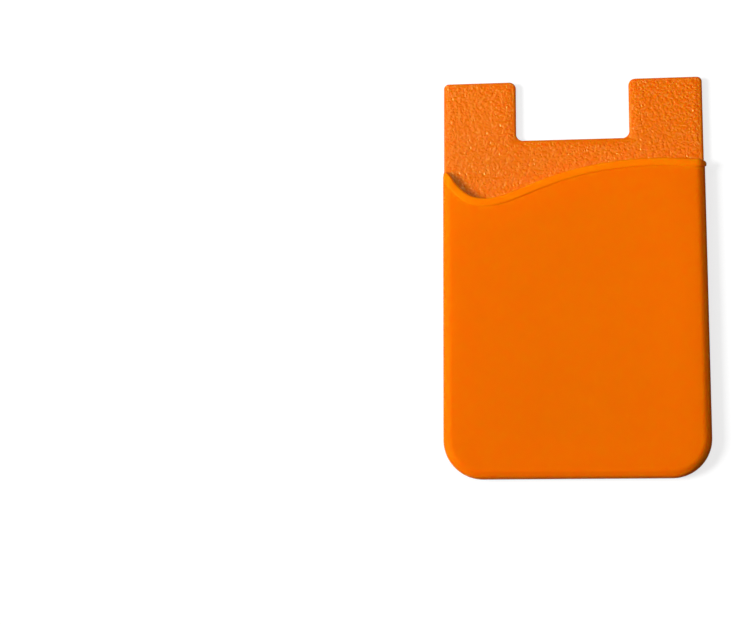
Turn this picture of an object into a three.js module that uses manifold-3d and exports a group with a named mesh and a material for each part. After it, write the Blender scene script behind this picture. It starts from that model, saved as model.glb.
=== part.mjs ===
// A card holder moulded in one piece of silicone rubber, with the adhesive sheet and release liner on its back.
// It lies on its back: X runs across it, Y towards the two prongs, Z out of the front. Millimetres.
import * as THREE from "three";
import { mergeVertices } from "three/addons/utils/BufferGeometryUtils.js";
import Module from "manifold-3d";

const wasm = await Module();
wasm.setup();

// What the pocket takes: a bank card, held snugly across and loosely through
const cardWidth = 54;
const slotGap = 1;

// Moulded body
const sideWall = 1.5;
const bottomWall = 2;
const pocketWall = 0.9;
const plateThickness = 1.2;
const bodyHeight = 88;
const plateInset = 0.2; // each side of the plate stands this far inside the pocket's side
const bottomCorner = 8.5;
const slotCorner = 4.5;
const pocketEdge = 2; // the soft round-over of the pocket's front edge
const plateEdge = 0.5;

// Thumb notch between the prongs
const notchWidth = 24.7;
const notchDepth = 13.4;
const notchFillet = 1.5;
const prongOuterCorner = 1.1;
const prongInnerCorner = 1.5;

// Wavy mouth: the bead's centre line, as drops below the notch's floor and insets from the sides
const mouthLeftDrop = 7.8;
const dipDrop = 14.35;
const crestDrop = 6.2;
const mouthRightDrop = 6.48;
const mouthRightHang = 0.5; // just before the right end the line is drawn down this far below it
const dipInset = 9.4;
const crestInset = 9.8;

// How long that line keeps level at each end of its fall, its rise and its last stretch, as shares of each
const levelAtLeft = 0.28;
const levelBeforeDip = 0.63;
const levelAfterDip = 0.21;
const levelBeforeCrest = 0.62;
const levelAfterCrest = 0.33;
const hangBeforeEnd = 0.27;

// Rolled bead along the mouth
const beadWidth = 1.65;
const beadThickness = 1.2;
const beadProud = 0.35;
const beadFade = 8; // the bead sinks into the left edge over this length

// Adhesive sheet and its liner
const adhesiveThickness = 0.3;
const adhesiveMargin = 3.5;
const adhesiveCorner = 4;
const linerThickness = 0.1;
const linerOverhang = 0.5;

// How finely the round stretches are divided
const cornerSteps = 6;
const edgeSteps = 5;
const wallEdgeSteps = 3;
const mouthSteps = 66;
const beadSteps = 64;
const beadSides = 12;

// Places that follow from the sizes
const overrun = 5; // how far a cutting shape runs past what it cuts
const halfWidth = cardWidth / 2 + sideWall;
const halfPlate = halfWidth - plateInset;
const halfSlot = cardWidth / 2;
const halfNotch = notchWidth / 2;
const bottomY = -bodyHeight / 2;
const topY = bodyHeight / 2;
const notchY = topY - notchDepth;
const backZ = linerThickness + adhesiveThickness;
const plateZ = backZ + plateThickness;
const roofZ = plateZ + slotGap;
const frontZ = roofZ + pocketWall;
const flatHalf = halfWidth - pocketEdge;
const quarterArc = (pocketEdge * Math.PI) / 2;
const wrapEnd = flatHalf + quarterArc; // half the front's width, measured over the round-over

// Manifold solid of a closed three.js geometry
function solidOf(geometry) {
  const bare = geometry.clone().deleteAttribute("normal").deleteAttribute("uv");
  const merged = mergeVertices(bare, 1e-4);
  return new wasm.Manifold(
    new wasm.Mesh({
      numProp: 3,
      vertProperties: merged.attributes.position.array,
      triVerts: new Uint32Array(merged.index.array),
    }),
  );
}

// three.js geometry of a manifold solid
function geometryOf(solid) {
  const mesh = solid.getMesh();
  const geometry = new THREE.BufferGeometry();
  geometry.setAttribute("position", new THREE.BufferAttribute(mesh.vertProperties, 3));
  geometry.setIndex(new THREE.BufferAttribute(mesh.triVerts, 1));
  const faceted = geometry.toNonIndexed();
  faceted.computeVertexNormals();
  return faceted;
}

// Outline of straight sides that meet square, each corner [x, y, radius] rounded by an arc
function roundedOutline(corners) {
  const outline = new THREE.Shape();
  corners.forEach(([x, y, radius], i) => {
    const previous = corners.at(i - 1);
    const next = corners[(i + 1) % corners.length];
    const back = new THREE.Vector2(previous[0] - x, previous[1] - y).normalize();
    const ahead = new THREE.Vector2(next[0] - x, next[1] - y).normalize();
    const centre = new THREE.Vector2(x, y);
    centre.addScaledVector(back, radius).addScaledVector(ahead, radius);
    const from = Math.atan2(-ahead.y, -ahead.x);
    const to = Math.atan2(-back.y, -back.x);
    outline.absarc(centre.x, centre.y, radius, from, to, back.cross(ahead) > 0);
  });
  outline.closePath();
  return outline;
}

// Slab of an outline from one height to another, its edges rounded by a radius
function slab(outline, lowZ, highZ, edge, steps) {
  const geometry = new THREE.ExtrudeGeometry(outline, {
    depth: highZ - lowZ - 2 * edge,
    curveSegments: cornerSteps,
    bevelEnabled: edge > 0,
    bevelThickness: edge,
    bevelSize: edge,
    bevelOffset: -edge,
    bevelSegments: steps,
  });
  return geometry.translate(0, 0, lowZ + edge);
}

// Point of the pocket's front, or below it by a depth, at a distance over the front from the middle
function frontPoint(across, y, depth) {
  const past = Math.max(Math.abs(across) - flatHalf, 0);
  const turn = past / pocketEdge;
  const radius = pocketEdge - depth;
  const x = Math.min(Math.abs(across), flatHalf) + radius * Math.sin(turn);
  const z = frontZ - pocketEdge + radius * Math.cos(turn);
  return new THREE.Vector3(Math.sign(across) * x, y, z);
}

// Outward direction of the front at the same distance
function frontNormal(across) {
  const turn = Math.max(Math.abs(across) - flatHalf, 0) / pocketEdge;
  return new THREE.Vector3(Math.sign(across) * Math.sin(turn), 0, Math.cos(turn));
}

// Centre line of the mouth's bead, laid out flat: down to the dip, up to the crest and over to the right side
function mouthLine() {
  const dip = new THREE.Vector2(-halfWidth + dipInset, notchY - dipDrop);
  const crest = new THREE.Vector2(halfWidth - crestInset, notchY - crestDrop);
  const leftEnd = new THREE.Vector2(-wrapEnd, notchY - mouthLeftDrop);
  const rightEnd = new THREE.Vector2(wrapEnd, notchY - mouthRightDrop);
  const fall = dip.x - leftEnd.x;
  const rise = crest.x - dip.x;
  const line = new THREE.Path();
  line.moveTo(leftEnd.x, leftEnd.y);
  const leaveLeft = leftEnd.x + levelAtLeft * fall;
  const meetDip = dip.x - levelBeforeDip * fall;
  line.bezierCurveTo(leaveLeft, leftEnd.y, meetDip, dip.y, dip.x, dip.y);
  const leaveDip = dip.x + levelAfterDip * rise;
  const meetCrest = crest.x - levelBeforeCrest * rise;
  line.bezierCurveTo(leaveDip, dip.y, meetCrest, crest.y, crest.x, crest.y);
  const wrap = rightEnd.x - crest.x;
  const leaveCrest = crest.x + levelAfterCrest * wrap;
  const meetEnd = rightEnd.x - hangBeforeEnd * wrap;
  line.bezierCurveTo(leaveCrest, crest.y, meetEnd, rightEnd.y - mouthRightHang, rightEnd.x, rightEnd.y);
  return line;
}

// The bead's path over the front and down both sides, keeping its section square to the front
class BeadPath extends THREE.CatmullRomCurve3 {
  constructor(flatPoints) {
    const sunk = beadThickness / 2 - beadProud;
    const points = flatPoints.map(({ x, y }) => {
      const fade = THREE.MathUtils.smoothstep(x + wrapEnd, 0, beadFade);
      return frontPoint(x, y, sunk + beadProud * (1 - fade));
    });
    super(points);
    this.flatPoints = flatPoints;
  }

  computeFrenetFrames(segments) {
    const tangents = [];
    const normals = [];
    const binormals = [];
    for (let i = 0; i <= segments; i++) {
      const t = this.getUtoTmapping(i / segments) * (this.flatPoints.length - 1);
      const k = Math.min(Math.floor(t), this.flatPoints.length - 2);
      const across = THREE.MathUtils.lerp(this.flatPoints[k].x, this.flatPoints[k + 1].x, t - k);
      const tangent = this.getTangentAt(i / segments);
      const normal = frontNormal(across).cross(tangent).normalize();
      tangents.push(tangent);
      normals.push(normal);
      binormals.push(tangent.clone().cross(normal));
    }
    return { tangents, normals, binormals };
  }
}

function beadGeometry(flatPoints) {
  const section = new THREE.Shape();
  section.absellipse(0, 0, beadWidth / 2, beadThickness / 2, 0, 2 * Math.PI);
  return new THREE.ExtrudeGeometry(section, {
    steps: beadSteps,
    curveSegments: beadSides / 2,
    extrudePath: new BeadPath(flatPoints),
  });
}

// Everything above the mouth, as a block that cuts the pocket off along the bead's centre line
function aboveMouth(flatPoints) {
  const outline = new THREE.Shape();
  const left = flatPoints[0];
  const right = flatPoints.at(-1);
  outline.moveTo(-halfWidth - overrun, left.y);
  flatPoints.forEach(({ x, y }) => outline.lineTo(frontPoint(x, y, 0).x, y));
  outline.lineTo(halfWidth + overrun, right.y);
  outline.lineTo(halfWidth + overrun, topY + 2 * overrun);
  outline.lineTo(-halfWidth - overrun, topY + 2 * overrun);
  return slab(outline, backZ - overrun, frontZ + overrun, 0, 1);
}

function plateGeometry() {
  const outline = roundedOutline([
    [-halfPlate, bottomY + plateInset, bottomCorner - plateInset],
    [halfPlate, bottomY + plateInset, bottomCorner - plateInset],
    [halfPlate, topY, prongOuterCorner],
    [halfNotch, topY, prongInnerCorner],
    [halfNotch, notchY, notchFillet],
    [-halfNotch, notchY, notchFillet],
    [-halfNotch, topY, prongInnerCorner],
    [-halfPlate, topY, prongOuterCorner],
  ]);
  return slab(outline, backZ, plateZ, plateEdge, wallEdgeSteps);
}

// Outline with the pocket's bottom corners that runs up past the mouth
function pocketOutline(inset, bottomInset, corner) {
  return roundedOutline([
    [-halfWidth + inset, bottomY + bottomInset, corner],
    [halfWidth - inset, bottomY + bottomInset, corner],
    [halfWidth - inset, topY + overrun, overrun / 2],
    [-halfWidth + inset, topY + overrun, overrun / 2],
  ]);
}

// The moulding: plate with prongs, pocket front and sides cut at the mouth, bead, and card slot
function bodyGeometry() {
  const flatPoints = mouthLine().getSpacedPoints(mouthSteps);
  const outer = pocketOutline(0, 0, bottomCorner);
  const softFront = solidOf(slab(outer, backZ - overrun, frontZ, pocketEdge, edgeSteps));
  const softBack = solidOf(slab(outer, backZ, frontZ + overrun, plateEdge, wallEdgeSteps));
  const slot = pocketOutline(sideWall, bottomWall, slotCorner);
  const slotBlock = solidOf(slab(slot, backZ - overrun, roofZ, 0, 1));
  const pocket = softFront
    .intersect(softBack)
    .subtract(solidOf(aboveMouth(flatPoints)))
    .add(solidOf(beadGeometry(flatPoints)))
    .subtract(slotBlock);
  return geometryOf(pocket.add(solidOf(plateGeometry())));
}

function sheetOutline(grow) {
  const side = halfPlate - adhesiveMargin + grow;
  const low = bottomY + plateInset + adhesiveMargin - grow;
  const high = notchY - adhesiveMargin + grow;
  const corner = adhesiveCorner + grow;
  return roundedOutline([
    [-side, low, corner],
    [side, low, corner],
    [side, high, corner],
    [-side, high, corner],
  ]);
}

function namedMesh(name, geometry, color, roughness) {
  const material = new THREE.MeshStandardMaterial({ color, roughness, metalness: 0 });
  const mesh = new THREE.Mesh(geometry, material);
  mesh.name = name;
  return mesh;
}

const cardHolder = new THREE.Group();
cardHolder.add(
  namedMesh("silicone_body", bodyGeometry(), 0xf07200, 0.6),
  namedMesh("adhesive_sheet", slab(sheetOutline(0), linerThickness, backZ, 0, 1), 0xd9d2ba, 0.35),
  namedMesh("release_liner", slab(sheetOutline(linerOverhang), 0, linerThickness, 0, 1), 0xf1efe8, 0.5),
);

export default cardHolder;
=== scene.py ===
import math

import bmesh
import bpy
from mathutils import Euler, Matrix, Vector, geometry, noise


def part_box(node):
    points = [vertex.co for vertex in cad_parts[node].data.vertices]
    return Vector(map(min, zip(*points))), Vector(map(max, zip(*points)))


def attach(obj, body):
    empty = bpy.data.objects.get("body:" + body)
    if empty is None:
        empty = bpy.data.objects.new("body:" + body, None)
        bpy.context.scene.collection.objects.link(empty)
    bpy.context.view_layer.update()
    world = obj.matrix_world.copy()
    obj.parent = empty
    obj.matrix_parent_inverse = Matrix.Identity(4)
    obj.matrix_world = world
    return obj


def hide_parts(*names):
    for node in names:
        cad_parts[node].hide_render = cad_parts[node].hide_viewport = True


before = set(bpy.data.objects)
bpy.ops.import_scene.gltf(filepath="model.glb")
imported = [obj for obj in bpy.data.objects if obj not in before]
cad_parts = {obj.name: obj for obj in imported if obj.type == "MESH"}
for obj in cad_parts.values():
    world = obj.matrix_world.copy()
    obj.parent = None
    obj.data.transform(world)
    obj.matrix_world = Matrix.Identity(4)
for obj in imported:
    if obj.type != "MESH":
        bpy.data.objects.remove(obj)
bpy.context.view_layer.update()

# Shapes are modelled in millimetres and brought to metres when a piece is finished
millimetre = 0.001
nearby = 0.001      # points this close to a plane or an edge lie on it
facingUp = 0.99     # smallest upward part of a flat front face's normal

# What several pieces of the moulding share
moulding = {
    "plateInset": 0.2,      # the plate's side stands this far inside the pocket's side
    "plateThickness": 1.2,
    "slotGap": 1.0,
    "pocketWall": 0.9,
    "sideWall": 1.5,
    "bottomWall": 2.0,
    "bottomCorner": 8.5,
    "overrun": 5.0,         # how far a cutting shape runs past what it cuts
}

bodyLow, bodyHigh = (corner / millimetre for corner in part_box("silicone_body"))
halfWidth = -bodyLow.x
bottomY = bodyLow.y
topY = bodyHigh.y
backZ = bodyLow.z
plateZ = backZ + moulding["plateThickness"]
roofZ = plateZ + moulding["slotGap"]
frontZ = roofZ + moulding["pocketWall"]
print("frame loaded: body", [round(v, 2) for v in (2 * halfWidth, topY - bottomY, bodyHigh.z)])


# Camera: above the holder, a little below and to the right of it, as in the photograph
cameraView = {
    "focalLength": 92.35,
    "sensorWidth": 36.0,
    "turn": (-10.50, -6.98, 1.00),       # degrees, from the holder's axes to the camera's
    "holderAt": (43.31, 7.79, -417.52),  # the middle of the holder's back, seen from the camera
}


def makeCamera():
    camera = bpy.data.objects.new("camera", bpy.data.cameras.new("camera"))
    bpy.context.scene.collection.objects.link(camera)
    bpy.context.scene.camera = camera
    camera.data.lens = cameraView["focalLength"]
    camera.data.sensor_width = cameraView["sensorWidth"]
    camera.data.clip_start = 0.01
    camera.data.clip_end = 10
    turn = Euler([math.radians(a) for a in cameraView["turn"]]).to_matrix().to_4x4()
    toCamera = Matrix.Translation(Vector(cameraView["holderAt"]) * millimetre) @ turn
    back = Matrix.Translation((0, 0, -backZ * millimetre))
    camera.matrix_world = (toCamera @ back).inverted()


makeCamera()
print("camera placed")


# Lights: a soft key from the left, a sheen light above, a low lift from the right and a weak even fill
lighting = {
    "keyElevation": 38.0,
    "keyAzimuth": 182.0,    # degrees from +X towards +Y
    "keyDistance": 2.0,
    "keySize": 0.65,
    "keyShare": 0.80,       # of the light that falls on a face that looks straight up
    "sheenElevation": 54.0,
    "sheenAzimuth": 126.0,
    "sheenDistance": 0.16,
    "sheenSize": 0.04,
    "sheenShare": 0.10,
    "liftElevation": 75.0,
    "liftAzimuth": 35.0,
    "liftDistance": 0.19,
    "liftSize": 0.08,
    "liftShare": 0.14,
    "fill": 0.10,
    "floorGrey": 0.15,      # what the floor throws back at the holder
    "floorGlow": 0.74,      # keeps the floor white for the camera, and its shadow light
}


def areaLight(name):
    elevation = math.radians(lighting[name + "Elevation"])
    azimuth = math.radians(lighting[name + "Azimuth"])
    distance = lighting[name + "Distance"]
    lamp = bpy.data.lights.new(name + "Light", "AREA")
    lamp.shape = "SQUARE"
    lamp.size = lighting[name + "Size"]
    lamp.energy = lighting[name + "Share"] * (math.pi * distance) ** 2 / math.sin(elevation)
    light = bpy.data.objects.new(name + "Light", lamp)
    bpy.context.scene.collection.objects.link(light)
    direction = Vector((
        math.cos(elevation) * math.cos(azimuth),
        math.cos(elevation) * math.sin(azimuth),
        math.sin(elevation),
    ))
    light.location = direction * distance
    light.rotation_euler = direction.to_track_quat("Z", "Y").to_euler()


def makeLights():
    areaLight("key")
    areaLight("sheen")
    areaLight("lift")
    world = bpy.data.worlds.new("softRoom")
    world.use_nodes = True
    background = world.node_tree.nodes["Background"]
    background.inputs["Color"].default_value = (1, 1, 1, 1)
    background.inputs["Strength"].default_value = lighting["fill"]
    bpy.context.scene.world = world
    bpy.context.scene.view_settings.view_transform = "Standard"


makeLights()
print("lights placed")


# Small helpers for node materials
def addNode(tree, kind, inputs=None, **settings):
    node = tree.nodes.new(kind)
    for name, value in settings.items():
        setattr(node, name, value)
    for name, value in (inputs or {}).items():
        if isinstance(value, bpy.types.NodeSocket):
            tree.links.new(value, node.inputs[name])
        else:
            node.inputs[name].default_value = value
    return node


def newMaterial(name):
    material = bpy.data.materials.new(name)
    material.use_nodes = True
    tree = material.node_tree
    shader = tree.nodes["Principled BSDF"]
    place = addNode(tree, "ShaderNodeTexCoord").outputs["Object"]
    return material, tree, shader, place


def bump(tree, height, strength, distance, normal=None):
    inputs = {"Height": height, "Strength": strength, "Distance": distance}
    if normal is not None:
        inputs["Normal"] = normal
    return addNode(tree, "ShaderNodeBump", inputs).outputs["Normal"]


def colourRamp(tree, factor, stops):
    ramp = addNode(tree, "ShaderNodeValToRGB", {"Fac": factor})
    elements = ramp.color_ramp.elements
    while len(elements) < len(stops):
        elements.new(0.5)
    for element, (position, colour) in zip(elements, stops):
        element.position = position
        element.color = (*colour, 1)
    return ramp.outputs["Color"]


# Silicone rubber: the satin pocket front, and the shinier grain of the plate
silicone = {
    "subsurfaceRadius": (1.0, 0.08, 0.03),
    "smooth": {
        "deep": (0.900, 0.154, 0.0), "light": (0.915, 0.160, 0.0),
        "subsurface": 0.9, "scale": 0.0016, "roughness": 0.62, "specular": 0.13,
        "sheen": (0.7, 1.0, 0.05, 1.0),
    },
    # painted shade: the grained plate's colours are set darker than the front's, standing in for the
    # shade of its creases and its lower place
    "grained": {
        "deep": (0.79, 0.152, 0.0), "light": (0.81, 0.158, 0.0),
        "subsurface": 0.8, "scale": 0.0013, "roughness": 0.21, "specular": 0.45,
        "sheen": (0.75, 1.0, 0.33, 1.0),
    },
    "rim": (0.93, 0.205, 0.0),  # painted highlight along the mouth's bead: a lighter colour for the light the bead catches, and for its thick rim letting less light through than the thin front
    "mottleScale": 60.0,    # per metre
    "hazeScale": 5200.0,
    "hazeDepth": 0.00001,
    "hazeStrength": 0.25,
    "poreScale": 2600.0,
    "poreDepth": 0.00005,
    "poreStrength": 0.75,
    "roughnessSpread": 0.04,
}


def siliconeMaterial(name, grained):
    finish = silicone["grained" if grained else "smooth"]
    material, tree, shader, place = newMaterial(name)
    mottle = addNode(tree, "ShaderNodeTexNoise", {
        "Vector": place, "Scale": silicone["mottleScale"], "Detail": 3.0, "Roughness": 0.6,
    }).outputs["Fac"]
    colour = colourRamp(tree, mottle, [(0.3, finish["deep"]), (0.7, finish["light"])])
    # painted highlight: the bead along the mouth gets a lighter colour, read from the rim attribute
    if not grained:
        paintedBeadHighlight = addNode(tree, "ShaderNodeAttribute", attribute_name="rim").outputs["Fac"]
        colour = addNode(tree, "ShaderNodeMixRGB", {
            "Fac": paintedBeadHighlight, "Color1": colour, "Color2": (*silicone["rim"], 1),
        }).outputs["Color"]
    tree.links.new(colour, shader.inputs["Base Color"])
    haze = addNode(tree, "ShaderNodeTexNoise", {
        "Vector": place, "Scale": silicone["hazeScale"], "Detail": 2.0, "Roughness": 0.5,
    }).outputs["Fac"]
    normal = bump(tree, haze, silicone["hazeStrength"], silicone["hazeDepth"])
    if grained:
        pore = addNode(tree, "ShaderNodeTexVoronoi", {
            "Vector": place, "Scale": silicone["poreScale"], "Randomness": 1.0,
        }, feature="SMOOTH_F1").outputs["Distance"]
        normal = bump(tree, pore, silicone["poreStrength"], silicone["poreDepth"], normal)
    tree.links.new(normal, shader.inputs["Normal"])
    spread = silicone["roughnessSpread"]
    roughness = addNode(tree, "ShaderNodeMapRange", {
        "Value": mottle, "To Min": finish["roughness"] - spread, "To Max": finish["roughness"] + spread,
    }).outputs["Result"]
    tree.links.new(roughness, shader.inputs["Roughness"])
    shader.inputs["Specular IOR Level"].default_value = finish["specular"]
    shader.inputs["Specular Tint"].default_value = finish["sheen"]
    shader.inputs["Subsurface Weight"].default_value = finish["subsurface"]
    shader.inputs["Subsurface Radius"].default_value = silicone["subsurfaceRadius"]
    shader.inputs["Subsurface Scale"].default_value = finish["scale"]
    return material


# Booleans, finishing and other steps that every modelled piece goes through
def newObject(bm, name):
    mesh = bpy.data.meshes.new(name)
    bm.to_mesh(mesh)
    bm.free()
    piece = bpy.data.objects.new(name, mesh)
    bpy.context.scene.collection.objects.link(piece)
    return piece


def combine(piece, tool, operation):
    step = piece.modifiers.new("combine", "BOOLEAN")
    step.operation = operation
    step.object = tool
    step.solver = "EXACT"
    step.use_self = True
    evaluated = piece.evaluated_get(bpy.context.evaluated_depsgraph_get())
    mesh = bpy.data.meshes.new_from_object(evaluated)
    piece.modifiers.clear()
    old = piece.data
    piece.data = mesh
    bpy.data.meshes.remove(old)
    bpy.data.objects.remove(tool)
    return piece


# A flat face from square corners (x, y, radius), each rounded by its own radius
def roundedFace(bm, corners, z, segments):
    verts = [bm.verts.new((x, y, z)) for x, y, radius in corners]
    bm.faces.new(verts)
    for vert, (x, y, radius) in zip(verts, corners):
        if radius:
            bmesh.ops.bevel(
                bm, geom=[vert], offset=radius, offset_type="OFFSET", segments=segments,
                profile=0.5, affect="VERTICES", material=-1,
            )


# A slab of such an outline, its front and back edges rounded
def roundedSlab(corners, lowZ, highZ, frontEdge=0, backEdge=0, segments=16, edgeSegments=10):
    bm = bmesh.new()
    roundedFace(bm, corners, lowZ, segments)
    lifted = bmesh.ops.extrude_face_region(bm, geom=bm.faces[:])["geom"]
    top = [v for v in lifted if isinstance(v, bmesh.types.BMVert)]
    bmesh.ops.translate(bm, verts=top, vec=(0, 0, highZ - lowZ))
    bmesh.ops.recalc_face_normals(bm, faces=bm.faces)
    for z, edge in ((highZ, frontEdge), (lowZ, backEdge)):
        if edge:
            rim = [e for e in bm.edges if all(abs(v.co.z - z) < nearby for v in e.verts)]
            bmesh.ops.bevel(
                bm, geom=rim, offset=edge, offset_type="OFFSET", segments=edgeSegments,
                profile=0.5, affect="EDGES", material=-1, clamp_overlap=False,
            )
    return bm


# The pocket's mouth: one line laid out flat over the front, then wrapped over its soft sides
mouth = {
    "edge": 2.0,            # round-over of the pocket's front edge
    "leftEnd": 22.8,        # heights of the bead's centre line
    "dip": (-19.1, 16.3),
    "crest": (18.7, 24.4),
    "rightEnd": 24.12,
    "rightHang": 0.5,       # just before the right end the line is drawn down this far below it
    "levels": (0.28, 0.63, 0.21, 0.62),  # how long it keeps level at each end of the fall and the rise
    "lastLevels": (0.33, 0.27),
    "steps": 60,
    "beadWidth": 1.85,
    "beadThickness": 1.2,
    "beadProud": 0.33,
    "beadFade": 8.0,
    "beadHidden": 0.06,     # how far the bead lies under the surface at the left end
    "beadSides": 32,
    "beadSquareness": 0.65,  # 1 is an ellipse, less is flatter on top
    "nubTaper": 0.4,
    "nubTaperFrom": 0.6,
}
flatHalf = halfWidth - mouth["edge"]
wrapEnd = flatHalf + mouth["edge"] * math.pi / 2


def frontPoint(across, y, depth):
    turn = max(abs(across) - flatHalf, 0) / mouth["edge"]
    radius = mouth["edge"] - depth
    x = min(abs(across), flatHalf) + radius * math.sin(turn)
    z = frontZ - mouth["edge"] + radius * math.cos(turn)
    return Vector((math.copysign(x, across), y, z))


def frontNormal(across):
    turn = max(abs(across) - flatHalf, 0) / mouth["edge"]
    return Vector((math.copysign(math.sin(turn), across), 0, math.cos(turn)))


def mouthLine():
    left = Vector((-wrapEnd, mouth["leftEnd"]))
    dip = Vector(mouth["dip"])
    crest = Vector(mouth["crest"])
    right = Vector((wrapEnd, mouth["rightEnd"]))
    atLeft, beforeDip, afterDip, beforeCrest = mouth["levels"]
    afterCrest, beforeEnd = mouth["lastLevels"]
    fall = Vector((dip.x - left.x, 0))
    rise = Vector((crest.x - dip.x, 0))
    wrap = Vector((right.x - crest.x, 0))
    hang = Vector((0, mouth["rightHang"]))
    pieces = [
        (left, left + atLeft * fall, dip - beforeDip * fall, dip),
        (dip, dip + afterDip * rise, crest - beforeCrest * rise, crest),
        (crest, crest + afterCrest * wrap, right - beforeEnd * wrap - hang, right),
    ]
    line = [left]
    for piece in pieces:
        line += geometry.interpolate_bezier(*piece, mouth["steps"])[1:]
    return [Vector((p.x, p.y)) for p in line]


def squarer(value):
    return math.copysign(abs(value) ** mouth["beadSquareness"], value)


def sweep(stations, sides):
    bm = bmesh.new()
    edges = []
    for place, along, outward, halfAcross, halfDepth in stations:
        across = outward.cross(along).normalized()
        lay = Matrix((across * halfAcross, outward * halfDepth, along)).transposed().to_4x4()
        lay.translation = place
        if edges:
            grown = bmesh.ops.extrude_edge_only(bm, edges=edges)["geom"]
            ring = [v for v in grown if isinstance(v, bmesh.types.BMVert)]
            edges = [e for e in grown if isinstance(e, bmesh.types.BMEdge)]
            edges = [e for e in edges if all(v in ring for v in e.verts)]
            bmesh.ops.transform(bm, matrix=lay @ lastLay.inverted(), verts=ring)
        else:
            ring = bmesh.ops.create_circle(bm, cap_ends=False, segments=sides, radius=1)["verts"]
            for v in ring:
                v.co.x = squarer(v.co.x)
                v.co.y = squarer(v.co.y)
            edges = list({e for v in ring for e in v.link_edges})
            bmesh.ops.transform(bm, matrix=lay, verts=ring)
            bmesh.ops.contextual_create(bm, geom=edges)
        lastLay = lay
    bmesh.ops.contextual_create(bm, geom=edges)
    bmesh.ops.recalc_face_normals(bm, faces=bm.faces)
    return bm


def smoothStep(value):
    value = min(max(value, 0), 1)
    return value * value * (3 - 2 * value)


def beadSolid(line):
    halfAcross = mouth["beadWidth"] / 2
    halfDepth = mouth["beadThickness"] / 2
    places = []
    for p in line:
        fade = smoothStep((p.x + wrapEnd) / mouth["beadFade"])
        sunk = halfDepth + mouth["beadHidden"] - (mouth["beadProud"] + mouth["beadHidden"]) * fade
        places.append(frontPoint(p.x, p.y, sunk))
    stations = []
    for i, p in enumerate(line):
        along = (places[min(i + 1, len(line) - 1)] - places[max(i - 1, 0)]).normalized()
        taper = (p.x - flatHalf - mouth["nubTaperFrom"]) / (wrapEnd - flatHalf - mouth["nubTaperFrom"])
        narrow = 1 - mouth["nubTaper"] * smoothStep(taper)
        stations.append((places[i], along, frontNormal(p.x), halfAcross * narrow, halfDepth))
    return newObject(sweep(stations, mouth["beadSides"]), "beadTool")


def aboveMouth(line):
    bm = bmesh.new()
    far = halfWidth + moulding["overrun"]
    high = topY + 2 * moulding["overrun"]
    low = backZ - moulding["overrun"]
    outline = [(-far, line[0].y)]
    outline += [(frontPoint(p.x, p.y, 0).x, p.y) for p in line]
    outline += [(far, line[-1].y), (far, high), (-far, high)]
    face = bm.faces.new([bm.verts.new((x, y, low)) for x, y in outline])
    lifted = bmesh.ops.extrude_face_region(bm, geom=[face])["geom"]
    top = [v for v in lifted if isinstance(v, bmesh.types.BMVert)]
    bmesh.ops.translate(bm, verts=top, vec=(0, 0, frontZ + moulding["overrun"] - low))
    bmesh.ops.recalc_face_normals(bm, faces=bm.faces)
    return newObject(bm, "mouthTool")


# The plate behind, with its two prongs and the thumb notch
plate = {
    "edge": 0.5,
    "notchHalf": 12.35,
    "notchDepth": 13.4,
    "notchFillet": 1.5,
    "outerCorner": 1.1,
    "innerCorner": 1.5,
}
notchY = topY - plate["notchDepth"]


def plateSolid():
    half = halfWidth - moulding["plateInset"]
    low = bottomY + moulding["plateInset"]
    bottom = moulding["bottomCorner"] - moulding["plateInset"]
    notch = plate["notchHalf"]
    corners = [
        (-half, low, bottom),
        (half, low, bottom),
        (half, topY, plate["outerCorner"]),
        (notch, topY, plate["innerCorner"]),
        (notch, notchY, plate["notchFillet"]),
        (-notch, notchY, plate["notchFillet"]),
        (-notch, topY, plate["innerCorner"]),
        (-half, topY, plate["outerCorner"]),
    ]
    slab = roundedSlab(corners, backZ, plateZ, plate["edge"], plate["edge"], 12, 6)
    return newObject(slab, "plateTool")


# The pocket in front: a soft-edged block, cut off at the mouth and hollowed for the cards
pocket = {
    "slotCorner": 4.5,
    "backEdge": 0.5,
}


def pocketCorners(side, bottom, corner):
    high = topY + moulding["overrun"]
    return [
        (-halfWidth + side, bottomY + bottom, corner),
        (halfWidth - side, bottomY + bottom, corner),
        (halfWidth - side, high, 0),
        (-halfWidth + side, high, 0),
    ]


def pocketSolid():
    outer = pocketCorners(0, 0, moulding["bottomCorner"])
    slab = roundedSlab(outer, backZ, frontZ, mouth["edge"], pocket["backEdge"], 24, 14)
    return newObject(slab, "siliconeBody")


def slotSolid():
    inner = pocketCorners(moulding["sideWall"], moulding["bottomWall"], pocket["slotCorner"])
    return newObject(roundedSlab(inner, backZ - moulding["overrun"], roofZ, segments=16), "slotTool")


# Cuts a flat stretch of faces into a fine grid, so that its points can be moved
def dice(bm, faces, axis, low, high, step):
    count = max(1, math.ceil((high - low) / step))
    normal = Vector((0, 0, 0))
    normal[axis] = 1
    for i in range(1, count):
        at = low + (high - low) * i / count
        cut = [f for f in faces if f.is_valid and any(v.co[axis] > at for v in f.verts)]
        geom = set(cut)
        for f in cut:
            geom.update(f.edges)
            geom.update(f.verts)
        done = bmesh.ops.bisect_plane(
            bm, geom=list(geom), dist=1e-5, plane_co=normal * at, plane_no=normal,
        )
        faces = [f for f in done["geom"] if isinstance(f, bmesh.types.BMFace)]
        faces = [f for f in faces if f.calc_center_median()[axis] > at]


# Leather-like grain pressed into the plate, whose face falls away softly towards its edges
grain = {
    "seed": 4,              # the grain comes out the same each time
    "step": 0.135,
    "pitch": 0.62,          # between neighbouring pebbles
    "height": 0.14,
    "crease": 0.42,         # width of the creases, as a share of the pitch
    "stretch": 1.12,        # pebbles are longer than they are wide
    "lean": math.radians(62),
    "wander": 0.22,
    "knobPitch": 0.46,
    "knobHeight": 0.05,
    "fadeFrom": 0.3,        # distances from the plate's outline
    "fadeWidth": 0.5,
    "fallWidth": 2.0,
    "fallDepth": 0.32,
    "depthBelowDip": 3.5,   # how far the fine grid runs into the pocket
}

noise.seed_set(grain["seed"])


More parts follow.
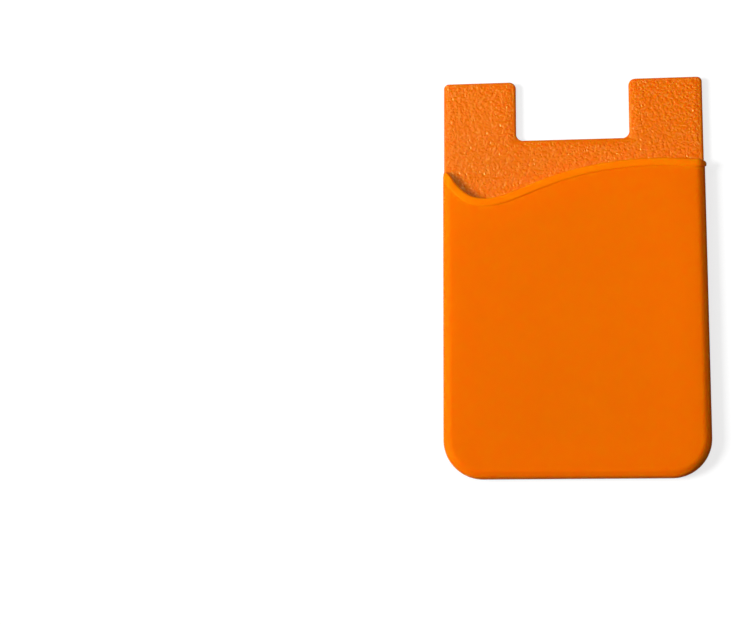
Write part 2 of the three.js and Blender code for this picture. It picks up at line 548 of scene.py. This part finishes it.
def grainHeight(x, y):
    lean = grain["lean"]
    bend = noise.noise_vector(Vector((x, y, 3.0)) * 1.5) * grain["wander"]
    x, y = x + bend.x, y + bend.y
    along = (x * math.cos(lean) + y * math.sin(lean)) / grain["stretch"]
    side = -x * math.sin(lean) + y * math.cos(lean)
    spot = Vector((along, side, 0)) / grain["pitch"]
    near = noise.voronoi(spot)[0]
    pebble = smoothStep((near[1] - near[0]) / grain["crease"])
    broken = 0.55 + 1.1 * noise.noise(spot * 0.9 + Vector((7, 3, 1)))
    knob = noise.noise(Vector((x, y, 11)) / grain["knobPitch"])
    return grain["height"] * (pebble - 1) * min(max(broken, 0), 1) + grain["knobHeight"] * (knob - 0.5)


def sideDistance(x, y):
    side = halfWidth - moulding["plateInset"] - abs(x)
    pastNotch = abs(x) - plate["notchHalf"]
    belowNotch = notchY - y
    around = math.hypot(max(pastNotch, 0), max(belowNotch, 0))
    return max(min(side, around), 0)


def plateFall(x, y):
    return grain["fallDepth"] * max(1 - sideDistance(x, y) / grain["fallWidth"], 0) ** 2


def pressGrain(bm):
    low = mouth["dip"][1] - grain["depthBelowDip"]
    flat = [
        f for f in bm.faces
        if f.normal.z > facingUp and abs(f.calc_center_median().z - plateZ) < nearby
    ]
    geom = set(flat)
    for f in flat:
        geom.update(f.edges)
        geom.update(f.verts)
    bmesh.ops.bisect_plane(bm, geom=list(geom), dist=1e-5, plane_co=(0, low, 0), plane_no=(0, 1, 0))

    def plateFaces():
        return [
            f for f in bm.faces
            if f.normal.z > facingUp
            and all(abs(v.co.z - plateZ) < nearby and v.co.y > low - nearby for v in f.verts)
        ]

    half = halfWidth - moulding["plateInset"] - plate["edge"]
    dice(bm, plateFaces(), 0, -half, half, grain["step"])
    dice(bm, plateFaces(), 1, low, topY - plate["edge"], grain["step"])
    grained = plateFaces()
    for f in bm.faces:
        middle = f.calc_center_median()
        onPlate = middle.z < plateZ + nearby and middle.y > low and abs(middle.x) < half + plate["edge"]
        if onPlate and f.normal.z > -0.1:
            f.material_index = 1
    for v in {v for f in grained for v in f.verts}:
        inside = min(sideDistance(v.co.x, v.co.y), topY - v.co.y)
        fade = smoothStep((inside - grain["fadeFrom"]) / grain["fadeWidth"])
        v.co.z += grainHeight(v.co.x, v.co.y) * fade
    for v in bm.verts:
        rise = (v.co.z - plateZ + plate["edge"]) / plate["edge"]
        onPlate = v.co.y > low and abs(v.co.x) < half + plate["edge"] + nearby
        if onPlate and 0 < rise < 1.3:
            v.co.z -= plateFall(v.co.x, v.co.y) * min(rise, 1)
    return len(grained)


# The empty pocket's front sags a little between its stiffer sides, and runs softly into its round-over
sag = {
    "depth": 0.22,
    "step": 1.0,
    "rollWidth": 5.0,
    "rollDepth": 0.11,
    "fadeIn": 0.6,          # height over the slot in which the sag comes in
    "belowMouth": 1.5,      # the sag starts this far below the bead and is full after the next stretch
    "mouthStretch": 9.0,
}


def mouthHeight(line, x):
    for p, q in zip(line, line[1:]):
        if p.x <= x <= q.x:
            return p.y + (q.y - p.y) * (x - p.x) / (q.x - p.x)
    return mouth["crest"][1]


def sagDepth(line, x, y):
    hollow = sag["depth"] * max(1 - (x / flatHalf) ** 2, 0)
    hollow *= smoothStep((y - bottomY - mouth["edge"]) / sag["mouthStretch"])
    hollow *= smoothStep((mouthHeight(line, x) - sag["belowMouth"] - y) / sag["mouthStretch"])
    side = flatHalf - abs(x)
    bottom = y - bottomY - mouth["edge"]
    roll = max(1 - min(side, bottom) / sag["rollWidth"], 0) ** 2 * sag["rollDepth"]
    return hollow + roll


def sagFront(bm, line):
    def frontFaces():
        return [
            f for f in bm.faces
            if f.normal.z > facingUp and all(abs(v.co.z - frontZ) < nearby for v in f.verts)
        ]

    dice(bm, frontFaces(), 0, -flatHalf, flatHalf, sag["step"])
    dice(bm, frontFaces(), 1, bottomY + mouth["edge"], mouth["crest"][1], sag["step"])
    sides = []
    for f in bm.faces:
        middle = f.calc_center_median()
        if abs(middle.x) > flatHalf and middle.z > roofZ - 0.1:
            sides.append(f)
    dice(bm, sides, 1, bottomY + moulding["bottomCorner"], mouth["crest"][1], sag["step"])
    for v in bm.verts:
        if v.co.z > roofZ + 0.01:
            v.co.z -= sagDepth(line, v.co.x, v.co.y) * smoothStep((v.co.z - roofZ) / sag["fadeIn"])


# How much of the bead's painted highlight there is at each point, for the material
def markPaintedBeadHighlight(bm, line):
    layer = bm.verts.layers.float.new("rim")
    for v in bm.verts:
        if v.co.z > roofZ - 0.05:
            away = min(math.hypot(v.co.x - frontPoint(p.x, p.y, 0).x, v.co.y - p.y) for p in line)
            v[layer] = smoothStep((1.15 - 2 * away / mouth["beadWidth"]) / 0.3)


def makeBody():
    line = mouthLine()
    body = pocketSolid()
    combine(body, aboveMouth(line), "DIFFERENCE")
    combine(body, beadSolid(line), "UNION")
    combine(body, slotSolid(), "DIFFERENCE")
    combine(body, plateSolid(), "UNION")
    bm = bmesh.new()
    bm.from_mesh(body.data)
    bmesh.ops.remove_doubles(bm, verts=bm.verts, dist=1e-4)
    sagFront(bm, line)
    markPaintedBeadHighlight(bm, line)
    count = pressGrain(bm)
    print("grain pressed into", count, "faces")
    bmesh.ops.scale(bm, vec=(millimetre,) * 3, verts=bm.verts)
    bmesh.ops.triangulate(bm, faces=[f for f in bm.faces if len(f.verts) > 4])
    body.data.materials.clear()
    body.data.materials.append(siliconeMaterial("smoothSilicone", False))
    body.data.materials.append(siliconeMaterial("grainedSilicone", True))
    bm.to_mesh(body.data)
    bm.free()
    body.data.shade_smooth()
    body.data.set_sharp_from_angle(angle=math.radians(40))
    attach(body, "root")
    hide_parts("silicone_body")
    return body


body = makeBody()
print("body modelled", len(body.data.polygons))


# Adhesive sheet and release liner keep their solids, with a finish of their own
backing = {
    "adhesive": (0.72, 0.66, 0.48),
    "adhesiveLight": (0.80, 0.75, 0.58),
    "adhesiveRoughness": 0.28,
    "liner": (0.86, 0.85, 0.80),
    "linerDeep": (0.80, 0.785, 0.73),
    "linerRoughness": 0.42,
    "fibreScale": 900.0,
    "fibreDepth": 0.00002,
}


def sheetMaterial(name, light, deep, roughness, scale, depth):
    material, tree, shader, place = newMaterial(name)
    cloud = addNode(tree, "ShaderNodeTexNoise", {
        "Vector": place, "Scale": scale * 0.2, "Detail": 4.0, "Roughness": 0.6,
    }).outputs["Fac"]
    tree.links.new(colourRamp(tree, cloud, [(0.35, deep), (0.65, light)]), shader.inputs["Base Color"])
    fibre = addNode(tree, "ShaderNodeTexNoise", {
        "Vector": place, "Scale": scale, "Detail": 4.0, "Roughness": 0.7, "Distortion": 1.2,
    }).outputs["Fac"]
    tree.links.new(bump(tree, fibre, 0.3, depth), shader.inputs["Normal"])
    shader.inputs["Roughness"].default_value = roughness
    return material


def finishNode(name, material):
    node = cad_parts[name]
    node.data.materials.clear()
    node.data.materials.append(material)


finishNode("adhesive_sheet", sheetMaterial(
    "adhesiveFilm", backing["adhesiveLight"], backing["adhesive"], backing["adhesiveRoughness"],
    backing["fibreScale"] * 0.4, backing["fibreDepth"]))
finishNode("release_liner", sheetMaterial(
    "linerPaper", backing["liner"], backing["linerDeep"], backing["linerRoughness"],
    backing["fibreScale"], backing["fibreDepth"]))
print("backing finished")


# Floor: pale for the camera, greyer for the light that it throws back
floorPlan = {
    "size": 3.0,
    "below": 0.0002,
    "brightness": 1.04,     # of the lit floor as the camera sees it
}


def makeFloor():
    bm = bmesh.new()
    bmesh.ops.create_grid(bm, x_segments=1, y_segments=1, size=floorPlan["size"] / 2)
    bmesh.ops.translate(bm, verts=bm.verts, vec=(0, 0, -floorPlan["below"]))
    floor = newObject(bm, "floor")
    material, tree, shader, place = newMaterial("floorPaper")
    path = addNode(tree, "ShaderNodeLightPath")
    seen = path.outputs["Is Camera Ray"]
    for ray in ("Is Glossy Ray", "Is Transmission Ray"):
        inputs = {0: seen, 1: path.outputs[ray]}
        seen = addNode(tree, "ShaderNodeMath", inputs, operation="MAXIMUM").outputs["Value"]
    grey = lighting["floorGrey"]
    pale = floorPlan["brightness"] - lighting["floorGlow"]
    colour = colourRamp(tree, seen, [(0.0, (grey, grey, grey)), (1.0, (pale, pale, pale))])
    tree.links.new(colour, shader.inputs["Base Color"])
    glow = addNode(tree, "ShaderNodeMath", {0: seen, 1: lighting["floorGlow"]}, operation="MULTIPLY")
    tree.links.new(glow.outputs["Value"], shader.inputs["Emission Strength"])
    shader.inputs["Emission Color"].default_value = (1, 1, 1, 1)
    shader.inputs["Roughness"].default_value = 1.0
    shader.inputs["Specular IOR Level"].default_value = 0.0
    floor.data.materials.append(material)


makeFloor()
print("floor laid")
